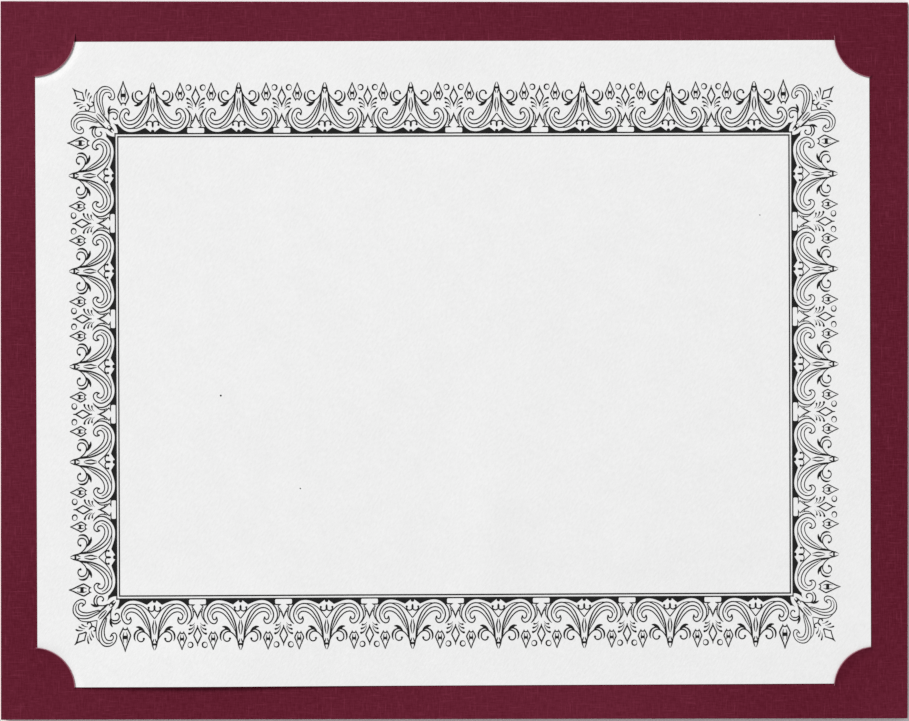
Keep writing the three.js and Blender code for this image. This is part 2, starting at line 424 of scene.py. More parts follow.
def tongue(corner):
    """A corner tongue: from its root straight out to the slit's outline, rising as a sprung strip does to
    one step above the panel. The rise fades where the tails run out at its two ends. The cut edge is rounded
    off by a quarter of an ellipse, a lip in which the card's fibres show."""
    end = root_half - END_GAP
    along = end * np.sin(np.linspace(-math.pi / 2, math.pi / 2, TONGUE_COLUMNS))
    span = slit_outline(along, SLIT_RADIUS) - root_distance
    lip = np.minimum(LIP, span / 2) * np.maximum(open_share(corner, along, LIP_ENDS), LEAST_LIP)
    flat_share = np.linspace(0, 1, TONGUE_ROWS)[:, None]
    turn = np.linspace(0, math.pi / 2, LIP_ROWS)[1:, None]
    reach = np.concatenate([flat_share * (span - lip), span - lip + lip * np.sin(turn)])
    drop = np.concatenate([0 * flat_share * lip, LIP_DROP / LIP * lip * (1 - np.cos(turn))])
    x, y = from_corner(corner, root_distance + reach, along + 0 * reach)
    rise = (SLIT_STEP + TONGUE_SPRING[corner]) * eased(span / RISE_RUN)
    rise = rise * open_share(corner, along, SLIT_CLOSES)
    z = panel_front + rise * sprung(reach / span)
    front = np.stack([x, y, z - drop], axis=2).reshape(-1, 3)
    back = np.stack([x, y, z - CARD_THICKNESS], axis=2).reshape(-1, 3)
    faces = upright(front, grid_faces(*reach.shape))
    in_lip = np.arange(len(faces)) >= (len(flat_share) - 1) * (len(along) - 1)
    in_lip &= np.tile((lip[:-1] + lip[1:]) / 2 > LIP_SHOWS, len(reach) - 1)
    points, faces, walls = thickened(front, faces, back)
    past_root = to_corner(corner, *points[faces].mean(axis=1)[:, :2].T)[0] > root_distance + NEAR
    pale = walls & past_root
    pale[:len(in_lip)] |= in_lip
    return piece(f"corner_tongue_{corner}", points, faces, [card, cut_edge], pale)


def card_solid(name, patches, is_cut):
    """A flat piece of card from patches of its front face, one thickness deep. is_cut says from x and y
    where a wall is a cut edge; elsewhere it is a seam to the next piece of the same card."""
    points, faces = joined(patches)
    faces = upright(points, faces)
    back = points - [0, 0, CARD_THICKNESS]
    points, faces, walls = thickened(points, faces, back)
    middle = points[faces].mean(axis=1)
    return piece(name, points, faces, [card, cut_edge], walls & is_cut(middle[:, 0], middle[:, 1]))


for corner in CORNERS:
    tab = tongue(corner)
    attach(tab, f"tab_{corner}")
    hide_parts(f"corner_tab_{corner}")


# The panels and the fold

BLOCK_REACH = 18.0  # how far the corner blocks of the panel reach inwards past the arcs' middles
SIDE_STEPS = 36
FIELD_STEPS = 10
RING_ROWS = 7
HELD_OPEN = 9.0  # the sheet holds a slit open to this far from the middle of the tongue's root
HELD_RUN = 0.6  # over how far it then narrows
END_RUN = 0.3  # over how far the kerf tapers to nothing at a slit's end
EDGE_COLUMNS = 31  # points along the fold
COVER_ROWS = 25
BEND_ROWS = 13


def between(start, end, steps):
    """Evenly spaced points from start to end, the last one left out."""
    share = np.arange(steps)[:, None] / steps
    return np.array(start) * (1 - share) + np.array(end) * share


def slit_loop(corner):
    """The panel's opening behind a tongue, once round: along the root from its middle, then along the slit's
    outline, moved out by the kerf, to its middle and on to the root's other end and back. Past the sheet's
    edges the kerf closes up, as the card does where nothing holds it open."""
    root = np.linspace(0, 1, SIDE_STEPS, endpoint=False)
    outline = root_half * np.cos(np.linspace(0, math.pi, 2 * SIDE_STEPS, endpoint=False))
    along = np.concatenate([root_half * root, outline, -root_half * (1 - root)])
    opened, lipped = open_share(corner, outline, SLIT_CLOSES), open_share(corner, outline, LIP_ENDS)
    held_open = np.maximum(eased((HELD_OPEN - np.abs(outline)) / HELD_RUN), 1 - lipped)
    kerf = CLOSED_KERF + opened * (TAIL_KERF - CLOSED_KERF + (SLIT_KERF - TAIL_KERF) * held_open)
    slit = slit_outline(outline, SLIT_RADIUS) + kerf * eased((root_half - np.abs(outline)) / END_RUN)
    away = np.concatenate([0 * root + root_distance, slit, 0 * root + root_distance])
    return np.stack(from_corner(corner, away, along), axis=1)


def block_loop(corner):
    """The rectangle round a corner's opening, once round from the panel's own corner, in step with
    slit_loop."""
    (side, level), (x, y) = CORNERS[corner], arc_middle(corner)
    far_x, far_y = side * edge_x, seam_y if level > 0 else free_y
    near_x, near_y = x - side * BLOCK_REACH, y - level * BLOCK_REACH
    first = (near_x, far_y) if side * level < 0 else (far_x, near_y)
    last = (far_x, near_y) if side * level < 0 else (near_x, far_y)
    turns = [(far_x, far_y), first, (near_x, near_y), last, (far_x, far_y)]
    return np.concatenate([between(a, b, SIDE_STEPS) for a, b in zip(turns, turns[1:])])


def flat(points):
    """Points in the panel's front plane."""
    return np.concatenate([points, np.full(points.shape[:-1] + (1,), panel_front)], axis=-1)


def panel_patches():
    """The mount panel's front face: round each opening a ring of points that goes evenly from the opening to
    a rectangle, and plain grids between these four rectangles."""
    share = np.linspace(0, 1, RING_ROWS)[:, None, None]
    for corner in CORNERS:
        inner, outer = slit_loop(corner), block_loop(corner)
        ring = inner * (1 - share) + outer * share
        yield flat(np.concatenate([ring, ring[:, :1]], axis=1))
    inner_x = SLIT_MIDDLE[0] - BLOCK_REACH
    top_y = SLIT_MIDDLE[1] - SLITS_DROP - BLOCK_REACH
    low_y = -SLIT_MIDDLE[1] - SLITS_DROP + BLOCK_REACH
    steps = (SIDE_STEPS, FIELD_STEPS, SIDE_STEPS)
    columns = (-edge_x, -inner_x, inner_x, edge_x)
    rows = (free_y, low_y, top_y, seam_y)
    for i, j in ((0, 1), (1, 0), (1, 1), (1, 2), (2, 1)):
        across = np.linspace(columns[i], columns[i + 1], steps[i] + 1)
        up = np.linspace(rows[j], rows[j + 1], steps[j] + 1)
        yield flat(np.stack(np.meshgrid(across, up), axis=2))


panel = card_solid("linen_mount_panel", list(panel_patches()), lambda x, y: y < seam_y - NEAR)
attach(panel, "panel")
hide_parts("mount_panel")

edge_columns = np.linspace(-edge_x, edge_x, EDGE_COLUMNS)
cover_x, cover_y = np.meshgrid(edge_columns, np.linspace(free_y, seam_y, COVER_ROWS))
cover_face = np.stack([cover_x, cover_y, np.full_like(cover_x, cover_high[2])], axis=2)
cover = card_solid("linen_cover", [cover_face], lambda x, y: y < seam_y - NEAR)
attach(cover, "cover")
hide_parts("cover_panel")


def fold_half(name, crease_z, up):
    """Half of the fold, carried along X: the profile runs level from the seam, turns a quarter circle about
    a point inside the crease, and runs upright to halfway along the spine. up is 1 for the panel's crease,
    which turns down, and -1 for the cover's."""
    half = CARD_THICKNESS / 2
    middle_y = fold_y - half - CREASE_RADIUS
    turn = np.linspace(0, math.pi / 2, BEND_ROWS)
    spine_middle = (spine_low[2] + spine_high[2]) / 2
    faces_of = []
    for radius in (CREASE_RADIUS + half, CREASE_RADIUS - half):
        y = np.concatenate([[seam_y], middle_y + radius * np.sin(turn), [middle_y + radius]])
        bend_z = crease_z - up * CREASE_RADIUS + up * radius * np.cos(turn)
        z = np.concatenate([[bend_z[0]], bend_z, [spine_middle]])
        grid = np.broadcast_arrays(edge_columns[None, :], y[:, None], z[:, None])
        faces_of.append(np.stack(grid, axis=2))
    front, back = faces_of
    rows, columns = front.shape[:2]
    faces = grid_faces(rows, columns)
    if up > 0:
        faces = faces[:, ::-1]
    points, faces, walls = thickened(front.reshape(-1, 3), faces, back.reshape(-1, 3))
    at_end = np.abs(points[faces].mean(axis=1)[:, 0]) > edge_x - NEAR
    return piece(name, points, faces, [card, cut_edge], walls & at_end)


panel_middle_z = (panel_front + panel_back) / 2
cover_middle_z = (cover_low[2] + cover_high[2]) / 2
crease_y = fold_y - CARD_THICKNESS / 2
for name, crease_z, up, bodies in (
    ("fold_crease_panel", panel_middle_z, 1, ("panel", "spine")),
    ("fold_crease_cover", cover_middle_z, -1, ("spine", "cover")),
):
    crease = fold_half(name, crease_z, up)
    flat_end = (0, (crease_y - CREASE_RADIUS) * MM, crease_z * MM)
    spine_end = (0, crease_y * MM, (crease_z - up * CREASE_RADIUS) * MM)
    start, end = (flat_end, spine_end) if up > 0 else (spine_end, flat_end)
    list(bodies)
    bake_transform(crease)
    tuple(start)
    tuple(end)
    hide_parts("fold_spine")


# The certificate

FIELD_LIFT = 0.03  # how far the sheet's field stands off the panel
RELEASE = 2.6  # over how far it rises after it has come out from under a tongue
CORNER_BAND = 20  # the grid is close this far in from the sheet's edges
CORNER_LINES = 27
FIELD_SPACING = 3.2
# Places where the sheet bows up further: sheet x and y, reach along x and y, height
SHEET_BOWS = (
    (-124, 94, 46, 40, 0.34),
    (-86, -108, 38, 26, 1.3),
    (-7, 108, 20, 9, 0.25),
    (10, 0, 105, 75, 0.15),
    (40, -55, 45, 30, 0.25),
    (11, -58, 9, 32, 0.35),
    (60, -64, 11, 9, 0.25),
)


def on_sheet(x, y):
    """Panel x and y of a place on the sheet, from the sheet's own middle."""
    cos, sin = math.cos(SHEET_TURN), math.sin(SHEET_TURN)
    return SHEET_MIDDLE[0] + cos * x - sin * y, SHEET_MIDDLE[1] + sin * x + cos * y


def paper_top(x, y):
    """Height of the sheet's upper face at a place on the sheet: flat on the card, plus a low bow in the
    field and along some edges that dies away towards each tongue, less the fall under the tongue, which
    follows its curve."""
    bow = FIELD_LIFT + sum(
        height * np.exp(-((x - at_x) / reach_x) ** 2 - ((y - at_y) / reach_y) ** 2)
        for at_x, at_y, reach_x, reach_y, height in SHEET_BOWS
    )
    panel_x, panel_y = on_sheet(x, y)
    bend_radius = SLIT_RADIUS + SLIT_KERF / 2
    fall = 0
    for corner in CORNERS:
        away, along = to_corner(corner, panel_x, panel_y)
        span = np.maximum(slit_outline(along, bend_radius) - root_distance, NEAR)
        share = np.clip((away - root_distance) / span, 0, 1)
        fall = fall + SLIT_STEP * (1 - sprung(share))
        bow = bow * np.where(away > 0, eased((np.hypot(away, along) - bend_radius) / RELEASE), 1)
        bow = np.where(share < 1, 0, bow)
    return sheet_top + bow - fall


def sheet_lines(length):
    """Grid lines across the sheet, from its middle: close together where the corners dip, wider in the
    field."""
    end = np.linspace(0, CORNER_BAND, CORNER_LINES)
    field_lines = int((length - 2 * CORNER_BAND) / FIELD_SPACING)
    field = np.linspace(CORNER_BAND, length - CORNER_BAND, field_lines)[1:-1]
    return np.concatenate([end, field, length - end[::-1]]) - length / 2


sheet_x, sheet_y = np.meshgrid(sheet_lines(SHEET_SIZE[0]), sheet_lines(SHEET_SIZE[1]))
sheet_face = np.stack([*on_sheet(sheet_x, sheet_y), paper_top(sheet_x, sheet_y)], axis=2)
points, faces = joined([sheet_face])
faces = upright(points, faces)
certificate = piece("certificate", *thickened(points, faces, points - [0, 0, SHEET_THICKNESS])[:2], [paper])
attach(certificate, "certificate")
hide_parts("certificate_sheet")


# The printed border, drawn with a pen in tenths of a millimetre

PEN = 0.1
BORDER_SIZE = np.array([226.28, 155.24])  # to the foot of the black band
BORDER_MIDDLE = np.array([0.22, -0.64])  # from the middle of the sheet
LILIES = (8, 5)  # across the border and up it
END_LILY = 12.39  # from the border's corner to the nearest lily, before stretching
SIDE_STRETCH = (1.1115, 0.907)  # along and across the strips at the sides
CORNER_STRETCH = (0.917, 0.991)  # across the border and up it
HALF_STEP = 144.27  # from a lily to the lozenge beside it
RULE_EDGES = np.array([0.56, 1.02])  # the thin rule inside the band, from the foot of the band
RULE_POINTS = 81
# How far the ink spreads past the pen's edge: on the top and bottom strips, on the left and right ones, and
# at each corner, given by its side and its end
PEN_SPREAD = 0.3
SIDE_SPREADS = (0.27, -0.05)
CORNER_SPREADS = ((-1, -1, 0.65), (-1, 1, 0.4), (1, -1, 0.3), (1, 1, 0.4))
STEP_LENGTH = 12.0  # a stroke's steps are shorter than this,
STEP_BEND = 0.5  # and turn by less than this, in radians
FINE_POINTS = 8  # the fewest that a line is measured at
LEAST_POINTS = 4  # and that it is drawn with
DOT_POINTS = 8
DOT_ENDS = (0.08, 0.97)  # shares of half a turn between which a dot is drawn
# Stray flecks of ink on the paper: sheet x and y, radius
FLECKS = ((-47.3, 75.9, 0.22), (102.8, 49.4, 0.2), (-78.1, -10.5, 0.32), (-51.6, -41.7, 0.22))
INK_RISE = 0.03  # the lowest stroke's height above the paper
INK_LAYER = 0.03  # strokes that cross lie on each other, up to this much higher
INK_DEPTH = 0.05  # from the lowest stroke down to the ink's foot, in the paper
GOLDEN_SHARE = (math.sqrt(5) - 1) / 2  # steps of this share, taken round, keep apart

# Each stroke is the pen's half-widths, evenly spread along it, and the points it goes through. In a strip
# they are the way from the lily's axis and the height above the foot of the band.
LILY_HALF = (
    # The petal: its two veins, its edge, and the edge of the petal under it
    ((0.4, 1.6, 1.7, 1.6, 1.7), (
        (18, 112), (21.5, 105), (26.5, 96), (30, 91), (35, 81), (41, 71), (49, 61), (60, 51), (70, 46.5),
        (77.5, 45.5), (85, 47), (90.5, 51), (95, 59), (94, 66), (90.5, 71.5), (86.5, 72.5), (83.5, 71),
        (81.5, 68), (80.5, 64.5))),
    ((0.4, 1.6, 1.8, 1.8, 1.8, 1.8, 0.6), (
        (16, 114), (19, 102), (22.5, 91), (26.5, 81), (31, 71), (37, 61), (43.5, 51), (53, 41), (61, 36),
        (70, 33), (77, 32.5), (85, 34), (90, 36.5), (95.5, 41), (99, 46), (101.5, 52), (102.5, 57))),
    ((2.1, 2.1, 1.6, 1.7, 1.7, 1.8), (
        (12.8, 130), (13.6, 112), (14.2, 101), (16.2, 91), (18.6, 81), (22, 71), (26, 61), (31, 51),
        (38, 41), (47.5, 31), (57, 25.5), (66, 21), (75, 19.5), (85, 21), (95, 26), (103.5, 36),
        (108.5, 46), (110.5, 57), (109, 66), (104.5, 76), (98, 83), (90, 86), (84, 84.5), (80, 80),
        (78, 75), (78.5, 70), (80.5, 64.5))),
    ((1.5, 1.5, 1.5, 1.2, 0.8), (
        (0, 68.5), (6, 61), (13.5, 51), (20, 42.5), (26.5, 36), (35, 29), (45, 23), (55, 20), (63, 19.5),
        (70, 19.5))),
    # The stem, the tendril, the leaf's back and the leaf
    ((0.8, 1.6, 2.3, 3.3, 3.6, 3.1, 1.2), (
        (9.8, 146), (10.9, 140), (12.1, 131), (13.5, 122), (14.3, 115), (14.5, 108), (14.5, 101))),
    ((0.8, 1.7, 1.9, 1.8, 1.8, 2.0), (
        (10.5, 143), (13, 137), (16, 131), (20, 125.5), (24.5, 120), (29.5, 116), (35, 113), (40, 112),
        (45, 112.5), (50, 115), (55, 120), (57.5, 128), (57, 136), (54, 141), (49, 144.5), (44.5, 145),
        (40, 143.5), (36.5, 140), (35.5, 136))),
    ((0.4, 1.9, 2.7, 2.9, 2.2, 1.9, 1.5), (
        (63.5, 142.5), (66.5, 137.5), (67.5, 130), (67, 122), (64.5, 116), (61, 111), (55, 107),
        (49, 105), (43, 105.5))),
    ((0.6, 2.6, 4.6, 5.2, 3.2, 1.0), (
        (31.5, 113.5), (35.5, 109), (41, 104), (46, 101), (53, 96.5), (61.5, 96))),
    # The crown: its side, its bar and the fold under it; the bud
    ((0.4, 1.4, 2.0, 1.9, 1.9), (
        (1.4, 173.5), (3.6, 168), (5.8, 162), (7.4, 155), (8.3, 149), (10, 142.5), (11.3, 137))),
    ((3.0, 4.0), ((0, 154), (7.5, 154.5))),
    ((1.4, 1.9, 1.4, 0.5), ((7, 150), (5.2, 145), (3.5, 140.5), (2.6, 135.5))),
    ((0.3, 1.4, 2.0, 2.1, 1.6, 0.3), (
        (1.5, 122), (3.2, 116), (4.6, 107), (5.8, 100), (5.6, 91.5), (4.2, 86), (3.2, 79), (2.4, 73))),
    # The foot: its stalk and its arm
    ((1.5, 1.8, 2.2, 0.5), ((1.5, 41), (1.2, 34), (1.2, 28), (0.6, 23))),
    ((1.8,), ((1.5, 40), (3, 41.5), (6, 43), (10, 44), (14, 43), (18, 40.5), (20, 36), (19.3, 31.5))),
)
LILY_DOTS = ((80.5, 65, 2.7), (35.8, 135.4, 3.8), (19.3, 31.5, 3.7))

# Towards the next lily: the leaves and the foot of the lozenge, half of the lozenge, and its feathers
LOZENGE_HALF = (
    # The leaf and its vein
    ((0.4, 2.6, 1.5, 1.5, 1.8, 2.0, 2.2), (
        (108.5, 88), (112, 85.5), (116, 81), (120, 75.5), (122.5, 68), (123.5, 60), (123, 51),
        (120.5, 41), (115.5, 31), (109.5, 23))),
    ((0.3, 1.2, 1.4, 1.5, 1.0), (
        (119, 79), (123, 73.5), (127, 66), (129.5, 59), (130, 51), (128.5, 42), (126.5, 36))),
    # The foot: its side, a notch, its rim and its hem
    ((0.3, 1.6, 2.5, 1.6, 1.5, 1.6), (
        (HALF_STEP, 71), (142.5, 62), (139.5, 54), (136.5, 46), (133, 39.5), (130.5, 36), (124.5, 28.5))),
    ((0.6,), ((136.5, 48.5), (130.5, 45))),
    ((1.4, 1.7, 2.0, 0.4), ((115, 22.5), (122, 22.5), (130, 23), (136, 21.5))),
    ((1.2, 0.6), ((124.5, 28.5), (128, 26), (133, 23))),
    # The lozenge: its upper and its lower side
    ((0.3, 2.2, 2.0, 2.0), ((HALF_STEP, 161), (144, 153), (141, 146), (131, 125.5))),
    ((2.0, 2.0, 2.0, 1.9, 0.9), ((131, 125.5), (135, 116), (140, 106), (143.5, 98), (HALF_STEP, 91))),
    # Three feathers
    ((3.0, 2.0, 1.2, 0.7, 0.2), ((115.5, 119), (120, 118), (125, 114.5), (130, 108), (134.5, 95))),
    ((2.6, 2.0, 1.1, 0.5, 0.2), ((116.5, 104.5), (121, 103.5), (126, 101), (131, 95.5), (134, 90))),
    ((2.6, 1.3, 0.5, 0.2), ((120, 91.5), (125, 91), (130, 88.5), (135, 82))),
    # The ring
    ((0.4, 0.6, 1.3, 2.1, 2.2, 2.1, 1.8, 1.1, 0.4), (
        (111, 156), (113.3, 150), (119.5, 147), (125.5, 149.5), (128, 156), (125.5, 162.5), (119.5, 165),
        (113.3, 162.5), (111, 156))),
)
LOZENGE_DOTS = ((115.8, 119, 3.9), (117, 104.5, 3.4), (120, 91.5, 3.3), (130.5, 45, 2.3))

# A pendant, from its own axis
PENDANT_HALF = (
    # The side, above and below the widest point, the notch, the bar and the fold
    ((0.5, 1.6, 1.6, 1.7, 1.9), ((0.3, 173), (2.6, 164), (5, 157), (8, 151), (11.2, 142), (15.3, 133.5))),
    ((2.0, 1.6, 1.9, 1.7, 0.5), ((15.3, 133.5), (12.5, 126), (10, 121), (6.6, 115), (5.6, 110.5))),
    ((2.0, 1.6), ((6.2, 115), (3.2, 117.5), (0, 118.2))),
    ((4.0, 4.0), ((0, 137), (6.9, 137))),
    ((0.2, 0.7, 1.8, 1.4, 0.9, 0.3), (
        (6, 147), (5.5, 143), (5, 138), (5, 131), (4.6, 126), (3.5, 122.5))),
)
PENDANT_PLACE = 91.8
END_PENDANT_HALF = (
    # The one beside a corner, in the same order
    ((0.5, 1.8, 1.9, 1.9, 2.0), (
        (0.3, 179), (2.8, 166), (8.5, 151), (12.4, 141), (16.2, 131), (18.3, 124))),
    ((2.0, 1.9, 1.9, 2.0, 0.5), (
        (18.3, 124), (15, 116), (12.3, 111), (9.8, 106), (7.3, 100.5), (6.8, 95.5))),
    ((2.0, 1.8), ((7, 100.5), (3.5, 104), (0, 105))),
    ((5.7, 5.7), ((0, 130.5), (8, 130.5))),
    ((0.3, 0.8, 1.6, 1.6, 1.6, 1.0, 0.3), (
        (4.5, 149), (5.6, 145.5), (6.6, 139.5), (7.2, 131), (6.6, 122), (5.3, 116.5), (3.4, 113))),
)
END_PENDANT_PLACE = 98.1

# The black band: pairs of edges that the ink fills
SCALLOP = ((25, 22), (30, 20), (40, 15.5), (51, 11.3), (61, 8.7), (72, 7.7), (83, 9), (92, 12.3),
           (101, 18.3), (108, 24.5))
BAND_HALF = (
    (((0, 0), (7, 0)), ((0, 8), (7, 8.2))),
    (((7, 0), (25, 0)), ((7, 8.2), (25, 22))),
    (((25, 0), (108, 0)), SCALLOP),
    (((0, 4), (0, 15.5)), ((0.5, 4), (4.4, 5.6), (5.8, 9.5), (4.6, 13.5), (0.5, 15.5))),
)
BAND_TO_LOZENGE = (
    (((108, 0), (115.5, 0)), ((108, 24.5), (115.5, 23.5))),
    (((115.5, 0), (118, 0)), ((115.5, 8), (118, 3.6))),
    (((118, 0), (HALF_STEP, 0)), ((118, 4.4), (HALF_STEP, 4.4))),
    (((115.5, 23.5), (115.5, 17)), ((118, 22), (115.6, 16))),
)
BAND_TO_CORNER = (
    (((108, 0), (117, 4), (117.5, 11), (118.7, 16), (122.3, 26.5), (126.5, 32.3), (132, 39)),
     ((108, 24.5), (111, 27), (114, 31), (116.5, 34), (121, 34.3), (125.5, 34.8), (132, 39))),
    (((108, 0), (128, 0)), ((108, 4.2), (128, 4.2))),
)

# At a corner: ways outwards from the border's corner, across and up; the other half mirrors them in the
# diagonal
CORNER_HALF = (
    # The petal: its edge and its two veins, the inner edge, and the stem beside it
    ((0.9, 1.1, 1.2, 0.9, 1.4, 1.6, 1.2, 1.3, 1.5, 1.3, 1.3), (
        (74, 74), (75, 82), (76.5, 91), (78, 98), (78.5, 108), (78.3, 116), (77.5, 126), (75.5, 133),
        (71, 140), (66, 145), (61, 150.5), (56, 155.5), (51, 159), (46, 161), (38, 162), (31, 161.3),
        (23, 159), (16, 154.5), (11, 150), (6, 142), (3.3, 134), (3, 126), (5, 121), (9, 117),
        (13.5, 116.5), (18, 118), (22, 121.5), (24.5, 126), (27, 130))),
    ((1.3, 1.3, 1.4, 1.4, 1.2, 0.8), (
        (26, 129), (20.5, 124.3), (17, 126), (15, 131), (16, 136), (21, 141), (26, 142), (31, 142),
        (36.5, 141), (41, 137.3), (45, 131), (47.5, 122), (48.3, 115), (48, 106), (46.5, 98), (44.5, 91),
        (42.5, 82), (40.5, 75), (39.5, 70), (39, 66))),
    ((0.4, 1.4, 1.4, 1.3, 1.1, 0.8), (
        (17, 146.5), (21, 148.5), (26, 151.5), (33, 152.2), (41, 151.3), (46, 149), (51, 144.5),
        (55, 138), (57.5, 130), (58.3, 121), (58, 111), (56.5, 104), (54.5, 97), (52, 91), (50, 85),
        (48, 81), (46, 76), (44, 70), (41.5, 64.5), (39.5, 60))),
    ((0.8, 1.4, 1.6, 1.5, 1.6, 1.8, 1.4), (
        (62, 148), (66, 141), (67.5, 133), (68.3, 123), (67.5, 111), (65, 101), (61, 91), (56, 81),
        (51, 71), (46.5, 65.5), (40.5, 59), (36, 54.5), (31, 48.5), (26, 43.5), (21.8, 37.5), (18.9, 31))),
    ((0.8, 2.6, 2.8, 2.4, 2.2, 0.8), (
        (41, 61.5), (37.3, 56), (33.3, 51), (29, 46), (24.6, 41), (21, 35.5))),
    # The bud
    ((0.4, 1.4, 1.7, 1.4, 0.4), (
        (67, 70.5), (59.5, 66), (54.5, 61), (49, 56), (45, 51), (41.5, 46), (39, 42))),
    # The leaf, the leaf's back, the tendril and its stalk
    ((1.6, 2.9, 3.7, 3.5, 2.3, 0.5), (
        (24, 66), (24.5, 71), (25.5, 76), (25, 81), (24, 86), (22, 91), (18, 97))),
    ((2.2, 1.9, 1.9, 1.9, 1.8, 0.5), (
        (22.5, 78), (19, 82), (16, 84), (11, 85.3), (6, 85.3), (1, 84), (-4, 81.3), (-9, 77), (-12, 72.5))),
    ((1.6,), (
        (23, 69.5), (20, 72.5), (16, 74.5), (11, 75.3), (6, 75), (1, 74), (-4, 70), (-6.5, 65),
        (-6.8, 60), (-5, 55), (-1, 51.3), (3, 50.3), (6.5, 52), (8, 55.5))),
    ((1.4, 1.2, 1.4), ((24, 67), (24.5, 58), (24.5, 51), (23.5, 44), (20, 36))),
    # Three feathers, the curl under them and its middle
    ((1.6, 2.4, 2.0, 1.1, 0.7, 0.2), (
        (104.5, 153), (105.5, 151), (107.3, 146), (108.5, 141), (108.5, 135), (107.5, 126))),
    ((1.8, 2.2, 1.0, 0.5, 0.2), ((94.5, 141.5), (97.3, 136), (100, 131), (101.5, 126), (102, 119))),
    ((1.4, 2.2, 1.0, 0.5, 0.2), ((87, 131.5), (90, 126), (93.3, 121), (95, 116), (95.5, 109))),
    ((1.8, 2.0, 1.8, 1.4, 1.5, 1.8), (
        (86, 110), (83, 109), (80.5, 106), (80, 101), (82, 97.5), (86, 95.3), (92, 93.5))),
    ((2.0, 2.2, 0.5), ((92.5, 93), (98.5, 99), (104.5, 105))),
    # The lozenge: its outer and its inner side
    ((0.4, 2.1, 1.7, 1.7, 1.7), ((157, 157), (148.3, 149.5), (136, 145.3), (126, 142), (120, 141))),
    ((1.7, 1.6, 1.6, 2.2), ((120, 141), (118.3, 131), (115.3, 122), (113.5, 114))),
    # The crown: its side, its bar and the fold under it
    ((0.8, 2.0, 2.1, 1.4, 0.3), ((18.6, 29), (17, 26), (14, 22), (10.5, 17.2), (7.3, 13.4), (6.2, 10.5))),
    ((3.5, 3.5), ((18.6, 17.6), (14, 22.2))),
    ((1.6, 1.0, 0.3), ((18, 27), (21.5, 28.8), (26.5, 30.5))),
)
CORNER_DOTS = ((106.2, 149, 3.0), (96.5, 138, 2.8), (89.5, 127, 2.6), (7.8, 54.5, 2.8), (86, 109.3, 2.3),
               (99, 99, 2.4), (114.6, 114.6, 2.4))


def pen_line(points):
    """A smooth line through points: a cubic between neighbours, whose slope at each point comes from the
    points on either side. Returns points along it, closer where it bends, and how far along each one is."""
    points = np.array(points, float)
    at = np.concatenate([[0], np.cumsum(np.hypot(*np.diff(points, axis=0).T))])
    slopes = np.gradient(points, at, axis=0)

    def line(where):
        """The line at distances along its points."""
        i = np.clip(np.searchsorted(at, where, side="right") - 1, 0, len(points) - 2)
        run = (at[i + 1] - at[i])[:, None]
        t = (where - at[i])[:, None] / run
        start = points[i] * (2 * t**3 - 3 * t**2 + 1) + slopes[i] * run * (t**3 - 2 * t**2 + t)
        return start + points[i + 1] * (3 * t**2 - 2 * t**3) + slopes[i + 1] * run * (t**3 - t**2)

    fine = np.linspace(0, at[-1], FINE_POINTS + int(at[-1]))
    way = np.diff(line(fine), axis=0)
    bend = np.abs(np.diff(np.unwrap(np.arctan2(way[:, 1], way[:, 0])), prepend=0))
    bend[0] = 0
    steps = np.concatenate([[0], np.cumsum(np.diff(fine) / STEP_LENGTH + bend / STEP_BEND)])
    count = max(LEAST_POINTS, 2 + int(steps[-1]))
    where = np.interp(np.linspace(0, steps[-1], count), steps, fine)
    return line(where), where / at[-1]


def stroke(widths, points, spread):
    """The two edges of a pen stroke: its line, moved sideways by its half-width and the ink's spread."""
    line, share = pen_line(points)
    way = np.gradient(line, share, axis=0)
    side = np.stack([-way[:, 1], way[:, 0]], axis=1) / np.hypot(*way.T)[:, None]
    half = np.interp(share, np.linspace(0, 1, len(widths)), widths)[:, None] + spread
    return np.stack([line + side * half, line - side * half], axis=1)


def dot(x, y, radius):
    """The two edges of a round dot, from its left end to its right."""
    share = np.linspace(DOT_ENDS[0], 1, DOT_POINTS)
    share[-1] = DOT_ENDS[1]
    across, up = -radius * np.cos(share * math.pi), radius * np.sin(share * math.pi)
    return np.transpose([[x + across, y + up], [x + across, y - up]], (2, 0, 1))


def filled(first, second):
    """The area between two edges, point by point along both. An edge of two points is straight."""
    lines = [
        (np.array(edge, float), [0, 1]) if len(edge) == 2 else pen_line(edge)
        for edge in (first, second)
    ]
    share = np.unique(np.concatenate([along for _, along in lines]))
    edges = [[np.interp(share, along, line[:, axis]) for axis in (0, 1)] for line, along in lines]
    return np.transpose(edges, (2, 0, 1))


def mirrored(shapes, diagonal=False):
    """Shapes and their mirror images: in the upright axis, or in the diagonal, which swaps x and y."""
    return shapes + [shape[..., ::-1] if diagonal else shape * [-1, 1] for shape in shapes]


def strip_art(spread):
    """Half a lily with its share of the band, and what lies beyond it towards the next lily or towards a
    corner."""
    lily = [stroke(*each, spread) for each in LILY_HALF] + [dot(*each) for each in LILY_DOTS]
    lily += [filled(*each) for each in BAND_HALF]
    pendant = mirrored([stroke(*each, spread) for each in PENDANT_HALF])
    towards_lozenge = [stroke(*each, spread) for each in LOZENGE_HALF]
    towards_lozenge += [dot(*each) for each in LOZENGE_DOTS]
    towards_lozenge += [filled(*each) for each in BAND_TO_LOZENGE]
    towards_lozenge += [shape + [PENDANT_PLACE, 0] for shape in pendant]
    pendant = mirrored([stroke(*each, spread) for each in END_PENDANT_HALF])
    towards_corner = [filled(*each) for each in BAND_TO_CORNER]
    towards_corner += [shape + [END_PENDANT_PLACE, 0] for shape in pendant]
    return lily, towards_lozenge, towards_corner


